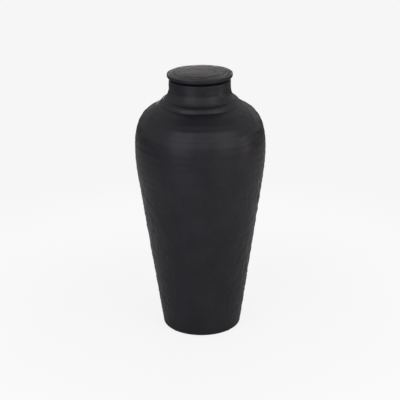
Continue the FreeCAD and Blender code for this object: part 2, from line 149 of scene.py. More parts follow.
def turnedPiece(name, runs, relief, base):
    # runs is [(outline points, vertices round the axis)], from the axis below to the axis above.
    # relief(radius, height, along, angle) gives how far a vertex moves out of the surface, its wear and
    # painted light (below zero it is painted shade) and how beaten it is.
    outline = np.array([point for points, _ in runs for point in points], float)
    counts = [count for points, count in runs for _ in points]
    counts[0] = counts[-1] = 1
    along = np.concatenate([[0], np.cumsum(np.linalg.norm(np.diff(outline, axis=0), axis=1))])
    heading = np.gradient(outline, axis=0)
    heading /= np.linalg.norm(heading, axis=1)[:, None]
    vertices, faces, alongWall, wearAndPaintedLight, beaten = [], [], [], [], []
    ringStart = []
    for (radius, height), (east, up), run, count in zip(outline, heading, along, counts):
        ringStart.append(len(vertices))
        for k in range(count):
            angle = 2 * math.pi * k / count
            push, wearAndPaintedTone, marks = relief(radius, height, run, angle)
            r = radius + up * push if radius > 0 else 0
            h = height - east * push + base
            vertices.append((r * math.cos(angle) * mm, r * math.sin(angle) * mm, h * mm))
            alongWall.append(run)
            wearAndPaintedLight.append(wearAndPaintedTone)
            beaten.append(marks)
    for i in range(len(counts) - 1):
        low, high, n, m = ringStart[i], ringStart[i + 1], counts[i], counts[i + 1]
        most, least = max(n, m), min(n, m)
        each = most // least
        for k in range(least):
            fine = [(k * each + j) % most for j in range(each + 1)]
            if n >= m:
                lower, upper = [low + j for j in fine], [high + (k + 1) % m, high + k]
            else:
                lower, upper = [low + k, low + (k + 1) % n], [high + j for j in reversed(fine)]
            if n == 1:
                faces += [(low, high + (j + 1) % m, high + j) for j in range(m)][::-1]
            elif m == 1:
                faces += [(low + j, low + (j + 1) % n, high) for j in range(n)]
            else:
                faces.append(lower + upper)
    mesh = bpy.data.meshes.new(name)
    mesh.from_pydata(vertices, [], faces)
    mesh.validate()
    for label, values in (("alongWall", alongWall), ("wearAndPaintedLight", wearAndPaintedLight), ("beaten", beaten)):
        mesh.attributes.new(label, "FLOAT", "POINT").data.foreach_set("value", values)
    mesh.shade_smooth()
    mesh.set_sharp_from_angle(angle=sharpAngle)
    piece = bpy.data.objects.new(name, mesh)
    bpy.context.scene.collection.objects.link(piece)
    print(f"{name}: {len(vertices)} vertices, {len(faces)} faces")
    return piece


# black stoneware: thrown and burnished, then fired black; a dry satin skin, not a glassy glaze.
# It gives the eye a nearly neutral charcoal with a broad soft sheen, fine lines round the pot,
# and slightly paler clay where edges and ridges have been rubbed. It also carries painted shade,
# nearly black under the lid and in the tooled lines, and painted light that makes the lid's top paler.

stoneware = {
    "body": "#312F35",
    "deep": "#28272D",
    # paler clay of rubbed edges, also painted light on the lid's top
    "rubbedAndPaintedLight": "#4A4748",
    # near black of the painted shade
    "paintedShadeBlack": "#030303",
    "ior": 1.47,
    "roughness": 0.34,
    "roughnessSpread": 0.08,
    "lineSpacing": 1.7,     # throwing lines, about 0.5 mm apart on a real pot: drawn coarser to show
    "lineDepth": 0.05,
    "lineChange": 6,        # how often a line changes on its way round, per metre
    "toothSize": 1.1,       # sandy tooth of the clay, really grains of about 0.3 mm: drawn coarser to show
    "toothDepth": 0.03,
    "toothStrength": 0.8,
    "pitSize": 8,           # small dents between the paddle marks
    "pitDepth": 1.15,
    "pitPolish": 0.08,      # the paddle polishes what it strikes
    "speckSize": 7,         # patches that the burnishing took more or less
    "speckLow": 0.3,        # the noise between these two goes from least to most rough
    "speckHigh": 0.7,
    "cloudSize": 55,        # fire clouding
    "cloudLow": 0.35,       # the noise between these two goes from the deep to the body colour
    "cloudHigh": 0.65,
    "rubbedFrom": 0.12,     # wear, and light painted on the lid's top, from which the clay looks paler, and at which it is as pale as it gets
    "rubbedFull": 0.55,     # and at which it is as rubbed as it gets
    "rubbedMost": 0.85,
}


def makeStoneware(name, look, lineStrength):
    material, tree = newMaterial(name)
    place = addNode(tree, "TexCoord").outputs["Object"]
    axes = addNode(tree, "SeparateXYZ", links={0: place})
    along = addNode(tree, "Attribute", attribute_name="alongWall").outputs["Fac"]
    wearAndPaintedLight = addNode(tree, "Attribute", attribute_name="wearAndPaintedLight").outputs["Fac"]
    beaten = addNode(tree, "Attribute", attribute_name="beaten").outputs["Fac"]
    # the way along the wall stands in for height, so that the lines also ring the flat shoulder and lid
    wallWay = addNode(tree, "Math", {1: mm}, {0: along}, operation="MULTIPLY")
    wallPlace = addNode(tree, "CombineXYZ",
                        links={"X": axes.outputs["X"], "Y": axes.outputs["Y"], "Z": wallWay.outputs[0]})

    # lines, tooth and pits have their size in the noise's second octave, clouds and specks in its first
    lineScale = 1 / (look["lineSpacing"] * 2 * mm)
    stretched = addNode(tree, "Mapping", {"Scale": (look["lineChange"], look["lineChange"], lineScale)},
                        {"Vector": wallPlace.outputs[0]})
    lines = addNode(tree, "TexNoise", {"Scale": 1, "Detail": 3, "Roughness": 0.6},
                    {"Vector": stretched.outputs[0]})
    tooth = addNode(tree, "TexNoise",
                    {"Scale": 1 / (look["toothSize"] * 2 * mm), "Detail": 3, "Roughness": 0.55},
                    {"Vector": place})
    pits = addNode(tree, "TexNoise",
                   {"Scale": 1 / (look["pitSize"] * 2 * mm), "Detail": 1, "Roughness": 0.4},
                   {"Vector": place})
    clouds = addNode(tree, "TexNoise",
                     {"Scale": 1 / (look["cloudSize"] * mm), "Detail": 4, "Roughness": 0.55},
                     {"Vector": place})
    specks = addNode(tree, "TexNoise",
                     {"Scale": 1 / (look["speckSize"] * mm), "Detail": 2, "Roughness": 0.6},
                     {"Vector": place})

    cloudShare = addNode(tree, "MapRange", {"From Min": look["cloudLow"], "From Max": look["cloudHigh"]},
                         {"Value": clouds.outputs["Fac"]})
    base = addNode(tree, "Mix", {mixFirst: linear(look["deep"]), mixSecond: linear(look["body"])},
                   {mixShare: cloudShare.outputs[0]}, data_type="RGBA")
    rubbedAndPaintedLightSpots = addNode(tree, "Math", links={0: wearAndPaintedLight, 1: specks.outputs["Fac"]}, operation="MULTIPLY")
    rubbedAndPaintedLightShare = addNode(tree, "MapRange", {
        "From Min": look["rubbedFrom"], "From Max": look["rubbedFull"],
        "To Min": 0, "To Max": look["rubbedMost"],
    }, {"Value": rubbedAndPaintedLightSpots.outputs[0]})
    colour = addNode(tree, "Mix", {mixSecond: linear(look["rubbedAndPaintedLight"])},
                     {mixShare: rubbedAndPaintedLightShare.outputs[0], mixFirst: base.outputs[mixed]}, data_type="RGBA")

    # painted shade: under the lid and in the tooled lines the colour goes nearly black, and matt
    paintedShadeShare = addNode(tree, "MapRange", {"From Min": 0, "From Max": -1, "To Min": 0, "To Max": 1},
                        {"Value": wearAndPaintedLight})
    paintedShade = addNode(tree, "Mix", {mixSecond: linear(look["paintedShadeBlack"])},
                    {mixShare: paintedShadeShare.outputs[0], mixFirst: colour.outputs[mixed]}, data_type="RGBA")

    # rougher in patches, smoother where the paddle struck, and quite dull where shade is painted
    rough = addNode(tree, "MapRange", {
        "From Min": look["speckLow"], "From Max": look["speckHigh"],
        "To Min": look["roughness"] - look["roughnessSpread"] / 2,
        "To Max": look["roughness"] + look["roughnessSpread"] / 2,
    }, {"Value": specks.outputs["Fac"]})
    struck = addNode(tree, "Math", {1: -look["pitPolish"]}, {0: beaten, 2: rough.outputs[0]},
                     operation="MULTIPLY_ADD")
    dull = addNode(tree, "Math", {1: 1 - look["roughness"]},
                   {0: paintedShadeShare.outputs[0], 2: struck.outputs[0]}, operation="MULTIPLY_ADD")

    lineBump = addNode(tree, "Bump", {"Strength": lineStrength, "Distance": look["lineDepth"] * mm},
                       {"Height": lines.outputs["Fac"]})
    pitBump = addNode(tree, "Bump", {"Distance": look["pitDepth"] * mm},
                      {"Strength": beaten, "Height": pits.outputs["Fac"], "Normal": lineBump.outputs[0]})
    toothBump = addNode(tree, "Bump",
                        {"Strength": look["toothStrength"], "Distance": look["toothDepth"] * mm},
                        {"Height": tooth.outputs["Fac"], "Normal": pitBump.outputs[0]})
    shader = addNode(tree, "BsdfPrincipled", {"IOR": look["ior"]}, {
        "Base Color": paintedShade.outputs[mixed],
        "Roughness": dull.outputs[0],
        "Normal": toothBump.outputs[0],
    })
    addNode(tree, "OutputMaterial", links={0: shader.outputs[0]})
    return material


# jar

jar = {
    "footRadius": 74.5,
    "footRing": 16,
    "footRecess": 3,
    "recessBevel": 1,
    "footRound": 1.8,
    "footBevel": 1.35,
    "bellyRadius": 121.7,
    "bellyRise": 357.8,
    "bellyCurve": 348.5,
    "shoulderRise": 80.2,
    "shoulderSlope": 14.7,       # degrees
    "shoulderFullness": 0.615,
    "shoulderReach": 0.698,
    "collarReach": 8.6,
    "collarRise": 11.5,
    "collarCurve": 11.3,
    "flareReach": 8.4,
    "flareRise": 20.6,
    "neckRadius": 56.9,
    "neckRise": 19.8,
    "wall": 7,
    "footWall": 9,
    "floorLevel": 13,
    "floorRound": 22,
    "neckWall": 7,
    "throatRound": 14,
    "mouthLead": 3,              # the mouth's edge is finely divided this far down
    "rimRound": 1.6,
    "rimStepIn": 5,              # the rim steps in under the lid, which leaves a dark line there
    "rimStepDown": 4.2,
    "rimStepRound": 75,          # degrees of the rounding above the neck that show beside the step
    "rimStepBevel": 0.6,
    "lineDepth": 1.3,            # two lines tooled beside the collar: softened notches, whose points
    "lowerLine": [(-0.55, -0.25), (-0.9, 0.1), (-0.45, 0.55)],   # are in line depths from the corners
    "upperLine": [(-0.35, -0.5), (-0.8, -0.15), (-0.75, 0.4)],
    "steps": {                   # spacing of the outline's points
        "recess": 5, "bevel": 0.7, "ringSide": 0.5, "footFace": 2.2, "footRound": 0.9, "wall": 2.4,
        "shoulder": 1.5, "roll": 0.9, "flare": 1.1, "neck": 1.3, "rimRound": 0.5, "rimStep": 0.4,
        "rimSide": 0.8, "mouth": 1, "throat": 2.5, "throatRound": 2, "inside": 4, "floorRound": 3,
    },
    "around": 288,               # vertices round the outside
    "aroundInside": 72,

    # what hands and tools left. Lumps are (width, height, seed) of soft noise
    "throwingLines": 0.8,        # strength of the clay's fine lines
    "frontWidth": 0.95,          # radians either way that count as the front
    "lean": 0.1,                 # the belly is less full on the right, by twice this
    "leanHeight": 75,
    "collarStand": 0.8,          # the clay round the collar was left a little full
    "collarStandHeight": 20,
    "unevenDepth": 0.16,
    "unevenLumps": (80, 60, 17),
    "unevenFrom": (2, 12),       # the wall gets uneven between these heights,
    "trueBelowRim": (8, 2),      # and true again between these depths below the rim
    "ringSpacing": 14,           # broad rings that the hand left
    "ringDepth": 0.2,
    "ringLumps": (60, 30, 5),
    "ribSpacing": 4.7,           # finer rings from the rib
    "ribDepth": 0.05,
    "ribLumps": (40, 12, 7),
    "ringDrift": 1.6,            # how far both wander, in radians of one ring
    "driftLumps": (70, 70, 3),
    "ringShow": 0.7,             # how strong they are,
    "ringPatches": 0.9,          # and by how much that comes and goes
    "ringsFrom": (250, 320),     # they fade in between these heights
    "toolReach": 3,              # height over which the tooled lines wiped them away
    "toolWiped": 0.8,
    "lineFill": 2.4,             # how far the tooled lines were smeared shut at the sides
    "upperFill": 0.4,            # how much of that the upper one got,
    "upperFillReach": 2,         # and over what height
    "deepRing": 0.5,             # one ring was cut deeper over a short way, left of the front
    "deepRingAlong": 477.5,      # along the outline
    "deepRingWidth": 2.4,
    "deepRingBearing": -1.89,    # radians
    "deepRingReach": 0.35,
    "paddleWidth": 13,           # beaten marks on the taper
    "paddleHeight": 13,
    "paddleDepth": 1.3,
    "paddleSink": 0.45,          # the share of that which lies below the wall
    "paddleEvenness": 0.6,       # squared distance from a mark's middle at which its ridge is full
    "paddleShow": 0.8,           # how strong they are,
    "paddlePatches": 0.7,        # and by how much that comes and goes
    "paddleLumps": (50, 50, 11),
    "paddleFrom": (6, 26),       # they fade in and out between these heights,
    "paddleTo": (270, 345),
    "paddleBelowCollar": (5, 1),    # and end between these depths below the collar
    "shoulderMarks": 0.45,       # how strongly they run on over the sides of the shoulder
    "smoothFront": 0.9,          # how much of them was burnished away in front
    "dentDepth": 0.8,            # small dents among them
    "dentLumps": (7.5, 6, 47),
    "insideRingSpacing": 11,
    "insideRingDepth": 0.5,
    "insideRingsRise": 30,       # the rings inside fade in over this height above the floor,
    "insideRingsTo": (430, 455),    # and out between these heights
    "clearance": 0.08,           # nothing stands out nearer than this to the solid's widest ring

    # wear is above zero where the clay is rubbed, and below it where shade is painted nearly black.
    # Pairs are its share and how far up and down it reaches
    "rimWear": (0.8, 2.2),
    "rollWear": (0.45, 2.5),
    "footWear": (0.7, 4),
    "ridgeWear": 0.35,
    "groundLevel": 0.5,          # the foot's face is all that lies below this,
    "groundWear": 0.5,           # and is rubbed in patches
    "groundPatches": 0.3,
    "groundLumps": (9, 9, 0),
    # painted shade in the two tooled lines, stronger in front
    "upperLinePaintedShade": (0.9, 0.9),
    "lowerLinePaintedShade": (0.5, 0.7),
    "rimPaintedShade": 0.55,             # painted shade on the rim under the lid, and this much more in front, from this far above the step and this far out from the mouth
    "rimPaintedShadeFront": 0.45,        # and this much more in front,
    "rimPaintedShadeUp": 0.4,            # from this far above the step
    "rimPaintedShadeOut": 1.9,           # and this far out from the mouth
}


def jarOutline(s):
    # from the middle of the recess underneath, up the outside and down the inside to the floor
    footIn = s["footRadius"] - s["footRing"]
    arcCentre = (s["bellyRadius"] - s["bellyCurve"], s["bellyRise"])
    touch = touchPoint((s["footRadius"], 0), arcCentre, s["bellyCurve"])
    lean = math.atan2(touch[0] - s["footRadius"], touch[1])
    footCentre = (s["footRadius"] + s["footRound"] * math.tan(lean) - s["footRound"] / math.cos(lean),
                  s["footRound"])
    footTop = (footCentre[0] + s["footRound"] * math.cos(lean),
               footCentre[1] - s["footRound"] * math.sin(lean))
    widest = (s["bellyRadius"], s["bellyRise"])
    groove = (s["neckRadius"] + s["flareReach"], s["bellyRise"] + s["shoulderRise"] + s["collarRise"])
    collar = (groove[0] + s["collarReach"], s["bellyRise"] + s["shoulderRise"])
    reach = (s["bellyRadius"] - collar[0]) * s["shoulderReach"]
    slope = math.radians(s["shoulderSlope"])
    poles = [
        widest,
        (s["bellyRadius"], s["bellyRise"] + s["shoulderRise"] * s["shoulderFullness"]),
        (collar[0] + reach, collar[1] - reach * math.tan(slope)),
        collar,
    ]
    neckLevel = groove[1] + s["flareRise"]
    rimLevel = neckLevel + s["neckRise"]
    mouth = s["neckRadius"] - s["neckWall"]
    mouthEdge = rimLevel - s["rimRound"] - s["mouthLead"]
    stepLevel, stepRadius = rimLevel - s["rimStepDown"], s["neckRadius"] - s["rimStepIn"]
    flareCurve = (s["flareReach"] ** 2 + s["flareRise"] ** 2) / (2 * s["flareReach"])
    flareCentre = (s["neckRadius"] + flareCurve, neckLevel)
    chord = math.dist(collar, groove)
    depth = math.sqrt(s["collarCurve"] ** 2 - (chord / 2) ** 2)
    inward = ((groove[1] - collar[1]) / chord, (groove[0] - collar[0]) / chord)
    rollCentre = ((collar[0] + groove[0]) / 2 - inward[0] * depth,
                  (collar[1] + groove[1]) / 2 + inward[1] * depth)
    notch = s["lineDepth"]
    rollSpread = math.degrees(notch / s["collarCurve"])
    flareSpread = math.degrees(notch / flareCurve)
    recess, recessBevel = s["footRecess"], s["recessBevel"]
    rimRound, stepBevel, step = s["rimRound"], s["rimStepBevel"], s["steps"]

    underneath = (
        straight((0, recess), (footIn - recessBevel, recess), step["recess"])
        + straight((footIn - recessBevel, recess), (footIn, recess - recessBevel), step["bevel"])
        + straight((footIn, recess - recessBevel), (footIn, s["footBevel"]), step["ringSide"])
        + straight((footIn, s["footBevel"]), (footIn + s["footBevel"], 0), step["bevel"])
    )
    shoulder = swept(poles, step["shoulder"])
    lowerLine = [(collar[0] + east * notch, collar[1] + up * notch) for east, up in s["lowerLine"]]
    roll = rounded(rollCentre, s["collarCurve"], bearingOf(rollCentre, collar) + rollSpread,
                   bearingOf(rollCentre, groove) - rollSpread, step["roll"])
    upperLine = [(groove[0] + east * notch, groove[1] + up * notch) for east, up in s["upperLine"]]
    flare = rounded(flareCentre, flareCurve, 360 + bearingOf(flareCentre, groove) - flareSpread, 180,
                    step["flare"])
    neckRound = (s["neckRadius"] - rimRound, stepLevel - rimRound)
    mouthRound = (mouth + rimRound, rimLevel - rimRound)
    outside = (
        straight((footIn + s["footBevel"], 0), (footCentre[0], 0), step["footFace"])
        + rounded(footCentre, s["footRound"], -90, -math.degrees(lean), step["footRound"])
        + straight(footTop, touch, step["wall"])
        + rounded(arcCentre, s["bellyCurve"], bearingOf(arcCentre, touch), 0, step["wall"])
        + [point for point in shoulder if math.dist(point, collar) > notch]
        + lowerLine + roll + upperLine + flare
        + straight((s["neckRadius"], neckLevel), (s["neckRadius"], neckRound[1]), step["neck"])
        + rounded(neckRound, rimRound, 0, s["rimStepRound"], step["rimRound"])
        + straight((stepRadius + stepBevel, stepLevel), (stepRadius, stepLevel + stepBevel), step["rimStep"])
        + straight((stepRadius, stepLevel + stepBevel), (stepRadius, rimLevel), step["rimSide"])
        + straight((stepRadius, rimLevel), (mouthRound[0], rimLevel), step["mouth"])
        + rounded(mouthRound, rimRound, 90, 180, step["rimRound"])
        + straight((mouth, mouthRound[1]), (mouth, mouthEdge), step["mouth"])
    )

    inCurve = s["bellyCurve"] - s["wall"]
    inFoot = (s["footRadius"] - s["footWall"], 0)
    inTouch = touchPoint(inFoot, arcCentre, inCurve)
    inLean = math.atan2(inTouch[0] - inFoot[0], inTouch[1])
    floorRound = s["floorRound"]
    cornerLevel = s["floorLevel"] + floorRound
    cornerCentre = (inFoot[0] + cornerLevel * math.tan(inLean) - floorRound / math.cos(inLean), cornerLevel)
    wallFoot = (cornerCentre[0] + floorRound * math.cos(inLean), cornerLevel - floorRound * math.sin(inLean))
    inCollar = (collar[0] - s["wall"] * math.sin(slope), collar[1] - s["wall"] * math.cos(slope))
    throatCentreRadius = mouth + s["throatRound"]
    throatEndRadius = throatCentreRadius - s["throatRound"] * math.sin(slope)
    throatEnd = (throatEndRadius, inCollar[1] + (inCollar[0] - throatEndRadius) * math.tan(slope))
    throatCentre = (throatCentreRadius, throatEnd[1] + s["throatRound"] * math.cos(slope))
    polygonLean = math.atan2(poles[0][0] - poles[2][0], poles[2][1] - poles[1][1])
    turn = math.pi / 2 - slope - polygonLean
    inPoles = [
        (s["bellyRadius"] - s["wall"], s["bellyRise"]),
        (s["bellyRadius"] - s["wall"], poles[1][1] - s["wall"] * math.tan(polygonLean / 2)),
        (poles[2][0] - s["wall"] * (math.sin(slope) + math.tan(turn / 2) * math.cos(slope)),
         poles[2][1] - s["wall"] * (math.cos(slope) - math.tan(turn / 2) * math.sin(slope))),
        inCollar,
    ]
    inside = (
        straight((mouth, mouthEdge), (mouth, throatCentre[1]), step["throat"])
        + rounded(throatCentre, s["throatRound"], 180, 270 - s["shoulderSlope"], step["throatRound"])
        + straight(throatEnd, inCollar, step["throat"])
        + swept(inPoles[::-1], step["inside"])
        + rounded(arcCentre, inCurve, 0, bearingOf(arcCentre, inTouch), step["inside"])
        + straight(inTouch, wallFoot, step["inside"])
        + rounded(cornerCentre, floorRound, -math.degrees(inLean), -90, step["floorRound"])
        + straight((cornerCentre[0], s["floorLevel"]), (0, s["floorLevel"]), step["inside"])
        + [(0, s["floorLevel"])]
    )
    return underneath, outside, inside


def jarRelief(s, insideFrom, levels):
    collar, groove, roll, rim = (levels[name] for name in ("collar", "groove", "roll", "rim"))
    trueFrom, trueTo = (rim - depth for depth in s["trueBelowRim"])
    unbeatenFrom, unbeatenTo = (collar - depth for depth in s["paddleBelowCollar"])
    paintedShadeLevel = rim - s["rimStepDown"] + s["rimPaintedShadeUp"]
    paintedShadeRadius = s["neckRadius"] - s["neckWall"] + s["rimPaintedShadeOut"]

    def fingerRings(height, along, angle):
        # up the inside wall, none on the floor
        wave = math.sin(2 * math.pi * along / s["insideRingSpacing"] + angle)
        fade = smoothStep(s["floorLevel"], s["floorLevel"] + s["insideRingsRise"], height)
        fade *= 1 - smoothStep(*s["insideRingsTo"], height)
        return (wave - 1) * 0.5 * s["insideRingDepth"] * fade

    def throwingRings(x, y, height, along, angle, turned):
        # they climb as a shallow screw and fade in and out
        drift = s["ringDrift"] * lumps(x, y, height, *s["driftLumps"])
        rings = s["ringDepth"] * math.sin(2 * math.pi * along / s["ringSpacing"] + angle + drift)
        rings *= s["ringShow"] + s["ringPatches"] * lumps(x, y, height, *s["ringLumps"])
        rings -= (s["deepRing"] * bump(s["deepRingAlong"], s["deepRingWidth"], along)
                  * bump(s["deepRingBearing"], s["deepRingReach"], turned))
        ribs = s["ribDepth"] * math.sin(2 * math.pi * along / s["ribSpacing"] - angle + 2 * drift)
        ribs *= s["ringShow"] + s["ringPatches"] * lumps(x, y, height, *s["ribLumps"])
        return rings + ribs

    def relief(radius, height, along, angle):
        x, y = radius * math.cos(angle), radius * math.sin(angle)
        if along > insideFrom:
            return fingerRings(height, along, angle), 0, 0
        if height < s["groundLevel"] and radius < s["footRadius"]:
            return 0, s["groundWear"] + s["groundPatches"] * lumps(x, y, height, *s["groundLumps"]), 0
        # angles have their seam at the back, so that the front lies well inside them
        turned = angle - 2 * math.pi * (angle > math.pi / 2)
        front = bump(-math.pi / 2, s["frontWidth"], turned)
        aboveFoot = smoothStep(*s["unevenFrom"], height)
        belowRim = 1 - smoothStep(trueFrom, trueTo, height)
        lower, upper = bump(collar, s["toolReach"], height), bump(groove, s["toolReach"], height)
        tooled = min(1, lower + upper)
        thrown = smoothStep(*s["ringsFrom"], height) * (1 - s["toolWiped"] * tooled) * belowRim
        rings = throwingRings(x, y, height, along, angle, turned)

        # paddle marks lie side by side: each is hollow, with a low ridge where two meet
        beaten = smoothStep(*s["paddleFrom"], height) * (1 - s["smoothFront"] * front)
        beaten *= 1 - smoothStep(*s["paddleTo"], height) * (1 - s["shoulderMarks"] * (1 - front))
        beaten *= 1 - smoothStep(unbeatenFrom, unbeatenTo, height)
        place = Vector((x / s["paddleWidth"], y / s["paddleWidth"], height / s["paddleHeight"]))
        ridge = min(1, noise.voronoi(place)[0][0] ** 2 / s["paddleEvenness"])
        marks = s["paddleShow"] + s["paddlePatches"] * lumps(x, y, height, *s["paddleLumps"])
        dents = s["paddleDepth"] * marks * (ridge - s["paddleSink"])
        dents += s["dentDepth"] * lumps(x, y, height, *s["dentLumps"])

        uneven = s["unevenDepth"] * lumps(x, y, height, *s["unevenLumps"]) * (1 - tooled) * belowRim
        full = s["collarStand"] * bump(roll, s["collarStandHeight"], height)
        side = -s["lean"] * (1 + math.cos(angle)) * bump(s["bellyRise"], s["leanHeight"], height)
        filled = lower + s["upperFill"] * bump(groove, s["upperFillReach"], height)
        smeared = s["lineFill"] * (1 - front) * filled
        push = aboveFoot * uneven + thrown * rings + beaten * dents + full + side + smeared

        # rubbed on ridges, rim, collar and foot; painted shade in the tooled lines, stronger in front, and
        # on the rim's step under the lid
        thrownRidge = max(0, rings / (s["ringDepth"] + s["ribDepth"])) * thrown
        wearAndPaintedTone = s["ridgeWear"] * thrownRidge + band(s["rimWear"], rim, height)
        wearAndPaintedTone += band(s["rollWear"], roll, height)
        wearAndPaintedTone += band(s["footWear"], 0, height) + s["ridgeWear"] * beaten * ridge ** 2
        wearAndPaintedTone -= (band(s["upperLinePaintedShade"], groove, height, front)
                 + band(s["lowerLinePaintedShade"], collar, height, front))
        if height > paintedShadeLevel and radius > paintedShadeRadius:
            wearAndPaintedTone = -s["rimPaintedShade"] - s["rimPaintedShadeFront"] * front
        return min(push, s["bellyRadius"] - s["clearance"] - radius), wearAndPaintedTone, beaten
    return relief


underneath, outside, inside = jarOutline(jar)
jarLow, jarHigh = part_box("jar_body")
collarLevel = jar["bellyRise"] + jar["shoulderRise"]
jarLevels = {
    "collar": collarLevel,
    "groove": collarLevel + jar["collarRise"],
    "roll": collarLevel + 0.5 * jar["collarRise"],
    "rim": collarLevel + jar["collarRise"] + jar["flareRise"] + jar["neckRise"],
}
insideFrom = lengthOf(underneath + outside) + jar["steps"]["mouth"]
jarBody = turnedPiece(
    "jarBody",
    [(underneath, jar["aroundInside"]), (outside, jar["around"]), (inside, jar["aroundInside"])],
    jarRelief(jar, insideFrom, jarLevels), jarLow.z / mm)
jarBody.data.materials.append(makeStoneware("blackStonewareThrown", stoneware, jar["throwingLines"]))
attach(jarBody, "jar")
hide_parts("jar_body")
print("jar turned")


# lid

lid = {
    "radius": 60.4,
    "edge": 7,
    "crown": 1.5,
    "round": 3,
    "roundAbove": 1.4,
    "ringOuter": 48.4,
    "ringWall": 5,
    "ringReach": 12,
    "ringBevel": 1.5,
    "hollowBevel": 1,
    "seatBevel": 0.6,
    "seatWidth": 4.5,            # the plate sits on the rim this far out from its ring,
    "seatHollow": 1.3,           # and is hollow past that,
    "seatHollowSlope": 0.9,
    "seatHollowEnd": 0.3,        # less so toward the edge
    "lastRing": 0.35,            # the crown's last points are this far from its middle
    "steps": {                   # spacing of the outline's points
        "underneath": 4, "hollowBevel": 0.7, "ringSide": 2, "ringFoot": 1, "seatBevel": 0.5,
        "seat": 1, "hollowSlope": 0.6, "lowerRound": 0.5, "edge": 0.35, "crown": 0.7,
    },
    "around": 240,
    "aroundBelow": 80,

    # what hands and tools left. Lumps are (width, height, seed) of soft noise
    "turningLines": 0.9,         # strength of the clay's fine lines
    "lineSpacing": 9.5,          # broken rings that a fingertip drew
    "lineDepth": 0.85,
    "lineWidth": 1.8,
    "lineMargin": 3,             # none is nearer to the edge
    "linesFrom": (6, 38),        # they fade in between these radii
    "lineShow": 0.6,             # how strong they are,
    "lineBreaks": 1.9,           # by how much that comes and goes,
    "lineMost": 1.2,             # and where it stops
    "breakLumps": (20, 20, 29),
    "breakShift": 9,             # breaks in one ring have nothing to do with those in the next
    "waver": 2.2,                # how far the rings wander
    "waverLumps": (26, 26, 19),
    "fineWaver": 0.35,           # and a share of it in finer lumps
    "fineWaverLumps": (9, 9, 23),
    "extraDepth": 0.18,          # fainter rings between them
    "extraPhase": 1.2,           # radians
    "wipedBack": 0.55,           # the far side was wiped smoother,
    "wipedFrom": (-10, 35),      # from before the middle to past it
    "warp": 0.5,                 # one side dried higher than the other, by twice this,
    "warpLift": 0.2,             # and the edge as a whole a little higher than the middle
    "warpBearing": 0.7,          # radians
    "warpFrom": 10,
    "unevenDepth": 0.14,
    "unevenLumps": (22, 22, 31),
    "fineDepth": 0.1,
    "fineLumps": (7, 7, 43),
    "topFade": (1.2, 0.2),       # the top's marks fade in between these depths below its edge
    "edgeFrom": (0.5, 2),        # the side's own marks fade in between these heights
    "edgeCut": 0.1,              # the side was pared by this
    "edgeUneven": 0.12,
    "edgeLumps": (11, 4, 37),
    "edgeLine": 0.8,             # a line round the edge, from the turning tool
    "edgeLineLevel": 5.2,
    "edgeLineWidth": 0.6,
    "topBeaten": 0.12,           # a trace of the small dents
    "clearance": 0.01,           # nothing stands out nearer than this to the solid's top

    # wear is above zero where the clay is rubbed and where light is painted on the top, and below it
    # where shade is painted nearly black. Pairs are its share and how far up and down it reaches
    "ringWear": (0.6, 1.5),
    # the top is paler between the finger lines: painted light, with some rubbing
    "topWearAndPaintedLight": 0.5,
    "upperEdgeWear": (0.7, 1.1),
    "upperEdgeDown": 0.9,        # most of it this far below the upper edge,
    "upperEdgeIn": (5, 2),       # and fading in between these distances from the rim
    # painted shade in the edge line
    "edgeLinePaintedShade": (0.9, 0.5),
    "paintedShadeBelow": (1, 1.8),       # all is painted shade below the first height and none above the second
}


def lidOutline(s):
    outer, inner = s["ringOuter"], s["ringOuter"] - s["ringWall"]
    foot, bevel, hollowBevel, seatBevel = -s["ringReach"], s["ringBevel"], s["hollowBevel"], s["seatBevel"]
    seatEnd = outer + s["seatWidth"]
    hollowStart = (seatEnd + s["seatHollowSlope"], s["seatHollow"])
    lowerRound = (s["radius"] - s["round"], s["round"])
    top = s["edge"] + s["crown"]
    crownCurve = (s["radius"] ** 2 + s["crown"] ** 2) / (2 * s["crown"])
    crownCentre = (0, top - crownCurve)
    upper = (s["radius"] - s["roundAbove"], s["edge"] - s["roundAbove"])
    crownEdge = bearingOf(crownCentre, upper)
    crownEnd = 90 - s["lastRing"] * math.degrees(1 / crownCurve)
    step = s["steps"]
    below = (
        straight((0, 0), (inner - hollowBevel, 0), step["underneath"])
        + straight((inner - hollowBevel, 0), (inner, -hollowBevel), step["hollowBevel"])
        + straight((inner, -hollowBevel), (inner, bevel + foot), step["ringSide"])
        + straight((inner, bevel + foot), (inner + bevel, foot), step["ringFoot"])
        + straight((inner + bevel, foot), (outer - bevel, foot), step["ringFoot"])
        + straight((outer - bevel, foot), (outer, bevel + foot), step["ringFoot"])
        + straight((outer, bevel + foot), (outer, -seatBevel), step["ringSide"])
        + straight((outer, -seatBevel), (outer + seatBevel, 0), step["seatBevel"])
    )
    above = (
        straight((outer + seatBevel, 0), (seatEnd, 0), step["seat"])
        + straight((seatEnd, 0), hollowStart, step["hollowSlope"])
        + straight(hollowStart, (lowerRound[0], s["seatHollowEnd"]), step["seat"])
        + rounded(lowerRound, s["round"], -90, 0, step["lowerRound"])
        + straight((s["radius"], s["round"]), (s["radius"], upper[1]), step["edge"])
        + rounded(upper, s["roundAbove"], 0, crownEdge, step["edge"])
        + rounded(crownCentre, crownCurve, crownEdge, crownEnd, step["crown"])
        + [(0, top)]
    )
    return below, above


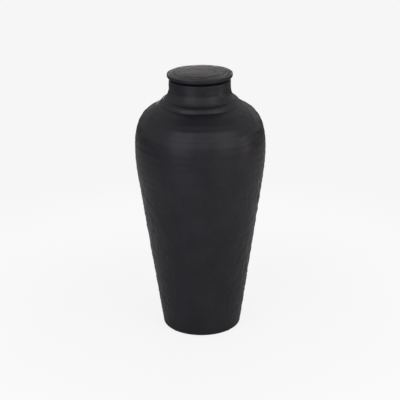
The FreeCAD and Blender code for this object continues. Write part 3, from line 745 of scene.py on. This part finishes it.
def lidRelief(s, topFrom):
    top = s["edge"] + s["crown"]
    fadeFrom, fadeTo = (s["edge"] - depth for depth in s["topFade"])
    rubbedFrom, rubbedTo = (s["radius"] - depth for depth in s["upperEdgeIn"])

    def fingerLines(x, y, radius):
        # rings that wander, each with its own breaks, and fainter ones between
        wander = radius + s["waver"] * lumps(x, y, 0, *s["waverLumps"])
        wander += s["fineWaver"] * s["waver"] * lumps(x, y, 0, *s["fineWaverLumps"])
        nearest = round(wander / s["lineSpacing"]) * s["lineSpacing"]
        drawn = 1 if 0 < nearest < s["radius"] - s["lineMargin"] else 0
        groove = s["lineDepth"] * drawn * bump(nearest, s["lineWidth"], wander)
        breaks = s["lineShow"] + s["lineBreaks"] * lumps(x, y, s["breakShift"] * nearest, *s["breakLumps"])
        groove *= min(s["lineMost"], max(0, breaks)) * smoothStep(*s["linesFrom"], radius)
        groove *= 1 - s["wipedBack"] * smoothStep(*s["wipedFrom"], y)
        wave = math.cos(4 * math.pi * wander / s["lineSpacing"] + s["extraPhase"])
        return groove, s["extraDepth"] * (0.5 - 0.5 * wave)

    def relief(radius, height, along, angle):
        x, y = radius * math.cos(angle), radius * math.sin(angle)
        if along < topFrom:
            # underneath, only the ring's foot is rubbed
            return 0, band(s["ringWear"], -s["ringReach"], height), 0
        groove, between = fingerLines(x, y, radius)
        onTop = smoothStep(fadeFrom, fadeTo, height)
        onEdge = (1 - onTop) * smoothStep(*s["edgeFrom"], height)
        warp = s["warpLift"] + s["warp"] * math.cos(angle - s["warpBearing"])
        warp *= smoothStep(s["warpFrom"], s["radius"], radius)
        uneven = s["unevenDepth"] * lumps(x, y, height, *s["unevenLumps"])
        uneven += s["fineDepth"] * lumps(x, y, height, *s["fineLumps"])
        cut = s["edgeCut"] + s["edgeLine"] * bump(s["edgeLineLevel"], s["edgeLineWidth"], height)
        cut += s["edgeUneven"] * lumps(x, y, height, *s["edgeLumps"])
        push = onTop * (warp - groove - between - uneven) - onEdge * cut
        push = min(push, top - s["clearance"] - height)

        # rubbed on the upper edge, painted light on the top between the lines, painted shade in the edge
        # line and below
        wearAndPaintedTone = band(s["upperEdgeWear"], s["edge"] - s["upperEdgeDown"], height)
        wearAndPaintedTone *= smoothStep(rubbedFrom, rubbedTo, radius)
        wearAndPaintedTone += s["topWearAndPaintedLight"] * onTop * max(0, 1 - groove / s["lineDepth"])
        wearAndPaintedTone -= band(s["edgeLinePaintedShade"], s["edgeLineLevel"], height)
        paintedShade = 1 - smoothStep(*s["paintedShadeBelow"], height)
        return push, wearAndPaintedTone * (1 - paintedShade) - paintedShade, s["topBeaten"] * onTop
    return relief


below, above = lidOutline(lid)
topFrom = lengthOf(below) + lid["steps"]["seatBevel"]
lidPlate = turnedPiece(
    "lidPlate",
    [(below, lid["aroundBelow"]), (above, lid["around"])],
    lidRelief(lid, topFrom), jarHigh.z / mm)
lidPlate.data.materials.append(makeStoneware("blackStonewareTurned", stoneware, lid["turningLines"]))
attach(lidPlate, "lid")
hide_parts("lid")
print("lid turned")


# felt pads: pressed wool felt punched into discs; a dull fibrous black with soft cut edges

felt = {
    "radius": 6,
    "thickness": 1.5,
    "edgeRound": 0.35,
    "faceStep": 0.9,             # spacing of the outline's points
    "roundStep": 0.12,
    "sideStep": 0.25,
    "around": 64,
    "raggedDepth": 0.12,         # the punch left the edge a little ragged,
    "raggedSize": 0.9,
    "raggedInward": 0.9,         # mostly inward, so that no tuft stands out past the disc,
    "raggedFade": 1,             # and only this far in
    "colour": "#2A2927",
    "fibre": "#3B3935",
    "ior": 1.45,
    "roughness": 0.95,
    "sheen": 0.2,
    "fibreSize": 0.5,            # wool fibres are about 0.03 mm thick: drawn as coarse tufts to show
    "fluffDepth": 0.2,
    "seed": 41,
}


def makeFelt(look):
    material, tree = newMaterial("pressedWoolFelt")
    place = addNode(tree, "TexCoord").outputs["Object"]
    tufts = addNode(tree, "TexNoise", {
        "Scale": 1 / (look["fibreSize"] * 2 * mm), "Detail": 6, "Roughness": 0.7, "Distortion": 1.5,
    }, {"Vector": place})
    colour = addNode(tree, "Mix", {mixFirst: linear(look["colour"]), mixSecond: linear(look["fibre"])},
                     {mixShare: tufts.outputs["Fac"]}, data_type="RGBA")
    fluff = addNode(tree, "Bump", {"Strength": 1, "Distance": look["fluffDepth"] * mm},
                    {"Height": tufts.outputs["Fac"]})
    shader = addNode(tree, "BsdfPrincipled", {
        "Roughness": look["roughness"], "IOR": look["ior"], "Sheen Weight": look["sheen"],
    }, {"Base Color": colour.outputs[mixed], "Normal": fluff.outputs[0]})
    addNode(tree, "OutputMaterial", links={0: shader.outputs[0]})
    return material


def feltDisc(s, centreX, centreY, base, seed):
    # one cut disc as points and faces: flat below, its edge rounded and a little ragged
    curl, r, t = s["edgeRound"], s["radius"], s["thickness"]
    outline = (
        straight((0, 0), (r - curl, 0), s["faceStep"])
        + rounded((r - curl, curl), curl, -90, 0, s["roundStep"])
        + straight((r, curl), (r, t - curl), s["sideStep"])
        + rounded((r - curl, t - curl), curl, 0, 90, s["roundStep"])
        + straight((r - curl, t), (0, t), s["faceStep"])
        + [(0, t)]
    )
    n = s["around"]
    points, faces, starts = [], [], []
    for i, (radius, height) in enumerate(outline):
        starts.append(len(points))
        for k in range(1 if i in (0, len(outline) - 1) else n):
            angle = 2 * math.pi * k / n
            x, y = radius * math.cos(angle), radius * math.sin(angle)
            tufts = lumps(x, y, height, s["raggedSize"], s["raggedSize"], seed)
            ragged = s["raggedDepth"] * (tufts - s["raggedInward"])
            cut = radius + ragged * smoothStep(r - s["raggedFade"], r, radius)
            points.append(((centreX + cut * math.cos(angle)) * mm, (centreY + cut * math.sin(angle)) * mm,
                           (base + height) * mm))
    for i in range(len(outline) - 1):
        a, b = starts[i], starts[i + 1]
        for k in range(n):
            j = (k + 1) % n
            if i == 0:
                faces.append((a, b + j, b + k))
            elif i == len(outline) - 2:
                faces.append((a + k, a + j, b))
            else:
                faces.append((a + k, a + j, b + j, b + k))
    return points, faces


padLow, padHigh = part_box("felt_pads")
padReach = padHigh.x / mm - felt["radius"]
allPoints, allFaces = [], []
for number, (sideX, sideY) in enumerate([(1, 1), (-1, 1), (-1, -1), (1, -1)]):
    points, faces = feltDisc(felt, sideX * padReach, sideY * padReach, padLow.z / mm, felt["seed"] + number)
    allFaces += [tuple(index + len(allPoints) for index in face) for face in faces]
    allPoints += points
feltMesh = bpy.data.meshes.new("feltPads")
feltMesh.from_pydata(allPoints, [], allFaces)
feltMesh.validate()
feltMesh.shade_smooth()
feltPads = bpy.data.objects.new("feltPads", feltMesh)
bpy.context.scene.collection.objects.link(feltPads)
feltMesh.materials.append(makeFelt(felt))
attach(feltPads, "jar")
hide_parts("felt_pads")
print("felt pads cut")


# floor and world: one pale sweep to the camera, and a plain room to the jar. Distances are metres

studio = {
    "paper": "#F6F6F6",          # what the camera sees of floor and backdrop
    "floorHalf": 12,
    "litTone": 0.95,             # the paper where real light and shadow show on it
    "shadowShare": 0.30,         # how much of that shows beside the jar
    "shadowFrom": 0.25,          # it fades from here
    "shadowReach": 0.9,          # to here, where the paper is plain again
    "paperLift": 1.28,           # makes up for the real light near the jar, which is dimmer than the paper
    "floorTone": 0.78,           # how pale the table is to the light that bounces off it
    "floorFar": 0.32,            # and the floor past the table
    "tableReach": 1,
    "footShade": 0.82,           # the table is in shade beside the foot,
    "footShadeFrom": 0.08,
    "footShadeReach": 0.4,
    "room": 0.36,                # strength of the room's own light
    "ceiling": 0.08,             # and straight overhead, where there is no lamp
    "ceilingFrom": 0.75,         # sine of the elevation at which it starts to fall off,
    "ceilingFull": 0.97,         # and at which it has
    "dimBearing": -145,          # degrees: the far left corner of the room is dim
    "dimShare": 0.7,
    "dimFrom": 0.6,              # cosine of the angle away from it at which that starts,
    "dimFull": 0.95,             # and is full
}


def paperRays(tree):
    # camera and transmission rays see plain paper. Glossy rays don't: there is no metal or glass here,
    # and a satin black pot mirrors the dim room and the soft boxes, as it would in a studio
    path = addNode(tree, "LightPath")
    return addNode(tree, "Math",
                   links={0: path.outputs["Is Camera Ray"], 1: path.outputs["Is Transmission Ray"]},
                   operation="MAXIMUM").outputs[0]


def makeFloor(s):
    half = s["floorHalf"]
    mesh = bpy.data.meshes.new("paperSweep")
    corners = [(-half, -half, 0), (half, -half, 0), (half, half, 0), (-half, half, 0)]
    mesh.from_pydata(corners, [], [(0, 1, 2, 3)])
    floor = bpy.data.objects.new("paperSweep", mesh)
    bpy.context.scene.collection.objects.link(floor)
    material, tree = newMaterial("studioPaper")
    place = addNode(tree, "TexCoord").outputs["Object"]
    reach = addNode(tree, "VectorMath", links={0: place}, operation="LENGTH").outputs["Value"]

    # what the jar sees: a table in shade beside the foot, and past its edge a floor that sends back less
    tone = addNode(tree, "MapRange", {
        "From Min": s["tableReach"], "From Max": 2 * s["tableReach"],
        "To Min": s["floorTone"], "To Max": s["floorFar"],
    }, {"Value": reach})
    shade = addNode(tree, "MapRange", {
        "From Min": s["footShadeFrom"], "From Max": s["footShadeReach"],
        "To Min": s["footShade"], "To Max": 1,
    }, {"Value": reach})
    table = addNode(tree, "Math", links={0: tone.outputs[0], 1: shade.outputs[0]}, operation="MULTIPLY")
    bounce = addNode(tree, "BsdfDiffuse", links={"Color": table.outputs[0]})

    # what the camera sees: plain paper, with some of the real light and shadow near the jar
    near = addNode(tree, "MapRange", {
        "From Min": s["shadowFrom"], "From Max": s["shadowReach"],
        "To Min": s["shadowShare"], "To Max": 0,
    }, {"Value": reach}, interpolation_type="SMOOTHSTEP")
    lift = addNode(tree, "MapRange", {
        "From Min": s["shadowFrom"], "From Max": s["shadowReach"],
        "To Min": s["paperLift"], "To Max": 1,
    }, {"Value": reach}, interpolation_type="SMOOTHSTEP")
    lit = addNode(tree, "BsdfDiffuse", {"Color": (s["litTone"], s["litTone"], s["litTone"], 1)})
    paper = addNode(tree, "Emission", {"Color": linear(s["paper"])}, {"Strength": lift.outputs[0]})
    seen = addNode(tree, "MixShader", links={0: near.outputs[0], 1: paper.outputs[0], 2: lit.outputs[0]})

    either = addNode(tree, "MixShader",
                     links={0: paperRays(tree), 1: bounce.outputs[0], 2: seen.outputs[0]})
    addNode(tree, "OutputMaterial", links={0: either.outputs[0]})
    mesh.materials.append(material)
    return floor


def makeRoom(s):
    world = bpy.data.worlds.new("studioRoom")
    bpy.context.scene.world = world
    world.use_nodes = True
    tree = world.node_tree
    tree.nodes.clear()
    direction = addNode(tree, "TexCoord").outputs["Generated"]
    up = addNode(tree, "SeparateXYZ", links={0: direction}).outputs["Z"]
    overhead = addNode(tree, "MapRange", {
        "From Min": s["ceilingFrom"], "From Max": s["ceilingFull"],
        "To Min": s["room"], "To Max": s["ceiling"],
    }, {"Value": up})
    turn = math.radians(s["dimBearing"])
    toward = addNode(tree, "VectorMath", {1: (math.sin(turn), -math.cos(turn), 0)}, {0: direction},
                     operation="DOT_PRODUCT").outputs["Value"]
    corner = addNode(tree, "MapRange", {
        "From Min": s["dimFrom"], "From Max": s["dimFull"], "To Min": 1, "To Max": s["dimShare"],
    }, {"Value": toward})
    strength = addNode(tree, "Math", links={0: overhead.outputs[0], 1: corner.outputs[0]},
                       operation="MULTIPLY")
    room = addNode(tree, "Background", {"Color": (1, 1, 1, 1)}, {"Strength": strength.outputs[0]})
    paper = addNode(tree, "Background", {"Color": linear(s["paper"]), "Strength": 1})
    either = addNode(tree, "MixShader",
                     links={0: paperRays(tree), 1: room.outputs[0], 2: paper.outputs[0]})
    addNode(tree, "OutputWorld", links={0: either.outputs[0]})


makeFloor(studio)
makeRoom(studio)
print("studio set")


# lights: two tall soft boxes in front, a card between them, one at the side,
# and a strip behind that the lid shows

lights = [
    # name, bearing from the camera's side in degrees, elevation, distance in metres,
    # width, height, radiance, colour
    ("softBoxLeft", -34, 20, 1.7, 1.15, 1.85, 0.74, "#F4F2FF"),
    ("softBoxRight", 46, 21, 1.7, 1.15, 1.5, 0.67, "#FFFDF2"),
    ("cardFront", 3, 22, 1.7, 0.6, 1.2, 0.36, "#F8F9FF"),
    ("cardRight", 82, 0, 1.7, 0.6, 0.55, 0.9, "#FFF0F4"),
    ("stripBehind", 184, 7.5, 1.7, 0.5, 0.2, 5.1, "#FFF7F8"),
]
aim = Vector((0, 0, 0.3))   # what they face, a little above the jar's middle


def addLight(name, bearing, elevation, distance, width, height, radiance, colour):
    lamp = bpy.data.lights.new(name, "AREA")
    lamp.shape = "RECTANGLE"
    lamp.size, lamp.size_y = width, height
    lamp.energy = radiance * math.pi * width * height
    lamp.color = linear(colour)[:3]
    light = bpy.data.objects.new(name, lamp)
    bpy.context.scene.collection.objects.link(light)
    turn, rise = math.radians(bearing), math.radians(elevation)
    away = Vector((math.sin(turn) * math.cos(rise), -math.cos(turn) * math.cos(rise), math.sin(rise)))
    light.location = aim + away * distance
    light.rotation_mode = "QUATERNION"
    light.rotation_quaternion = away.to_track_quat("Z", "Y")
    light.visible_camera = False


for row in lights:
    addLight(*row)
print("lights placed")


# camera: the photograph's own view, a long lens looking down on the jar

shot = {
    "place": (0, -1.995, 1.007),   # metres
    "downward": 0.3623,            # radians, as the roll is
    "roll": -0.009,
    "lens": 101.12,
    "sensor": 36,
    "shift": -0.00209,
}
cameraData = bpy.data.cameras.new("productCamera")
cameraData.lens = shot["lens"]
cameraData.sensor_width = shot["sensor"]
cameraData.shift_x = shot["shift"]
camera = bpy.data.objects.new("productCamera", cameraData)
bpy.context.scene.collection.objects.link(camera)
camera.matrix_world = (Matrix.Translation(shot["place"])
                       @ Matrix.Rotation(math.pi / 2 - shot["downward"], 4, "X")
                       @ Matrix.Rotation(shot["roll"], 4, "Z"))
bpy.context.scene.camera = camera
bpy.context.scene.view_settings.view_transform = "Standard"
print("camera set")
